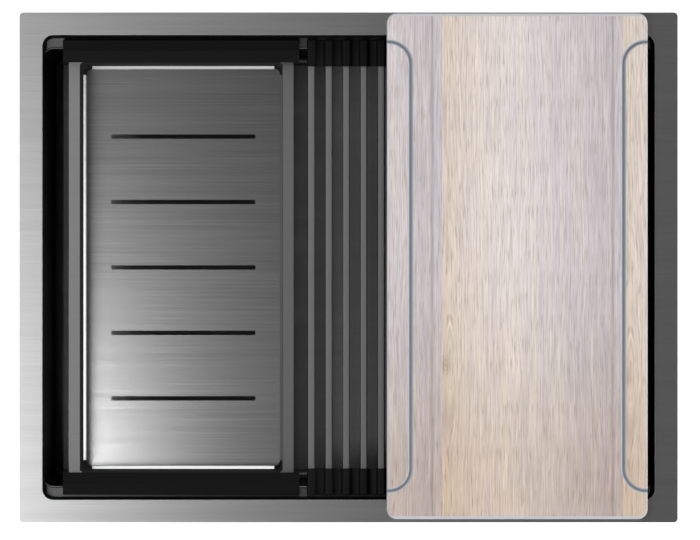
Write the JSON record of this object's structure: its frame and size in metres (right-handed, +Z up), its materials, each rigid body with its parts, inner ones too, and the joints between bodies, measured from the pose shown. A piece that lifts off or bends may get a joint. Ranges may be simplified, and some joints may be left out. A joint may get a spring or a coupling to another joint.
{
  "type": "workstation kitchen sink",
  "caption": "Inset steel workstation sink: ledged bowl with a slotted colander, a roll-up bar mat, a sliding cutting board, basket waste, overflow and worktop clips.",
  "frame": {"origin": "centre of the deck's opening in the plane of the worktop's top, which the deck's underside rests on", "axes": "+X along the long side, from the colander to the board; +Y to the back; +Z up"},
  "size_m": [0.66, 0.5114, 0.3358],
  "materials": {
    "deck_steel": "finely brushed along its length",
    "bowl_steel": "brushed along its length",
    "tray_steel": "brushed along the sink's length",
    "bar_steel": "satin",
    "pressed_steel": "polished",
    "screw_steel": "satin",
    "zinc_steel": "bright zinc plating",
    "black_plastic": "satin black",
    "silicone": "matt black silicone",
    "pad_rubber": "matt grey damping sheet",
    "seal_rubber": "matt black",
    "oak_laminate": "pale oak decor over a blue-grey core"
  },
  "bodies": {
    "sink": {"deck_plate": "deck_steel", "bowl_shell": "bowl_steel", "floor_pad": "pad_rubber", "back_pad": "pad_rubber", "front_pad": "pad_rubber", "left_pad": "pad_rubber", "right_pad": "pad_rubber", "clip_rail_back": "zinc_steel", "clip_rail_front": "zinc_steel", "waste_cup": "pressed_steel", "flange_gasket": "seal_rubber", "under_gasket": "seal_rubber", "waste_body": "black_plastic", "waste_screw": "screw_steel", "outlet_seal": "seal_rubber", "outlet_nut": "black_plastic", "overflow_grille": "pressed_steel", "overflow_screw": "screw_steel", "overflow_gasket": "seal_rubber", "overflow_elbow": "black_plastic"},
    "board": {"cutting_board": "oak_laminate", "board_strip_back": "seal_rubber", "board_strip_front": "seal_rubber"},
    "colander": {"colander_tray": "tray_steel", "colander_handle_back": "black_plastic", "colander_handle_front": "black_plastic"},
    "mat": {"mat_bar_04": "bar_steel", "mat_bar_05": "bar_steel", "mat_bar_06": "bar_steel", "mat_bar_07": "bar_steel", "mat_bar_08": "bar_steel", "mat_bar_09": "bar_steel", "mat_bar_10": "bar_steel", "mat_bar_11": "bar_steel", "mat_bar_12": "bar_steel", "mat_bar_13": "bar_steel", "mat_strip_back": "silicone", "mat_strip_front": "silicone"},
    "mat_link_3": {"mat_bar_03": "bar_steel", "mat_sleeve_back_3": "silicone", "mat_sleeve_front_3": "silicone"},
    "mat_link_2": {"mat_bar_02": "bar_steel", "mat_sleeve_back_2": "silicone", "mat_sleeve_front_2": "silicone"},
    "mat_link_1": {"mat_bar_01": "bar_steel", "mat_sleeve_back_1": "silicone", "mat_sleeve_front_1": "silicone"},
    "basket": {"basket_cup": "pressed_steel", "basket_knob": "black_plastic", "basket_seal": "seal_rubber"},
    "clip_1": {"clip_screw_1": "zinc_steel"},
    "claw_1": {"clip_claw_1": "zinc_steel"},
    "clip_2": {"clip_screw_2": "zinc_steel"},
    "claw_2": {"clip_claw_2": "zinc_steel"},
    "clip_3": {"clip_screw_3": "zinc_steel"},
    "claw_3": {"clip_claw_3": "zinc_steel"},
    "clip_4": {"clip_screw_4": "zinc_steel"},
    "claw_4": {"clip_claw_4": "zinc_steel"}
  },
  "joints": [
    {"name": "board_slide", "type": "slide", "parent": "sink", "child": "board", "axis": [1, 0, 0], "range_m": [-0.3375, 0.006]},
    {"name": "colander_lift", "type": "slide", "parent": "sink", "child": "colander", "axis": [0, 0, 1], "range_m": [0, 0.16]},
    {"name": "mat_slide", "type": "slide", "parent": "sink", "child": "mat", "axis": [-1, 0, 0], "range_m": [-0.12, 0.0065]},
    {"name": "mat_curl_1", "type": "hinge", "parent": "mat", "child": "mat_link_3", "pos_m": [0.00643, 0, -0.018], "axis": [0, 1, 0], "range_deg": [0, 60]},
    {"name": "mat_curl_2", "type": "hinge", "parent": "mat_link_3", "child": "mat_link_2", "pos_m": [-0.01123, 0, -0.018], "axis": [0, 1, 0], "range_deg": [0, 60]},
    {"name": "mat_curl_3", "type": "hinge", "parent": "mat_link_2", "child": "mat_link_1", "pos_m": [-0.02888, 0, -0.018], "axis": [0, 1, 0], "range_deg": [0, 60]},
    {"name": "basket_lift", "type": "slide", "parent": "sink", "child": "basket", "axis": [0, 0, 1], "range_m": [0, 0.12]},
    {"name": "clip_turn_1", "type": "hinge", "parent": "sink", "child": "clip_1", "pos_m": [-0.24, 0.2397, -0.05], "axis": [0, 0, 1], "range_deg": [0, 90]},
    {"name": "claw_climb_1", "type": "slide", "parent": "clip_1", "child": "claw_1", "axis": [0, 0, 1], "range_m": [0, 0.02]},
    {"name": "clip_turn_2", "type": "hinge", "parent": "sink", "child": "clip_2", "pos_m": [0.24, 0.2397, -0.05], "axis": [0, 0, -1], "range_deg": [0, 90]},
    {"name": "claw_climb_2", "type": "slide", "parent": "clip_2", "child": "claw_2", "axis": [0, 0, 1], "range_m": [0, 0.02]},
    {"name": "clip_turn_3", "type": "hinge", "parent": "sink", "child": "clip_3", "pos_m": [0.24, -0.2397, -0.05], "axis": [0, 0, 1], "range_deg": [0, 90]},
    {"name": "claw_climb_3", "type": "slide", "parent": "clip_3", "child": "claw_3", "axis": [0, 0, 1], "range_m": [0, 0.02]},
    {"name": "clip_turn_4", "type": "hinge", "parent": "sink", "child": "clip_4", "pos_m": [-0.24, -0.2397, -0.05], "axis": [0, 0, -1], "range_deg": [0, 90]},
    {"name": "claw_climb_4", "type": "slide", "parent": "clip_4", "child": "claw_4", "axis": [0, 0, 1], "range_m": [0, 0.02]}
  ],
  "couplings": [
    {"joint": "mat_curl_2", "follows": "mat_curl_1", "ratio": 1},
    {"joint": "mat_curl_3", "follows": "mat_curl_1", "ratio": 1}
  ]
}
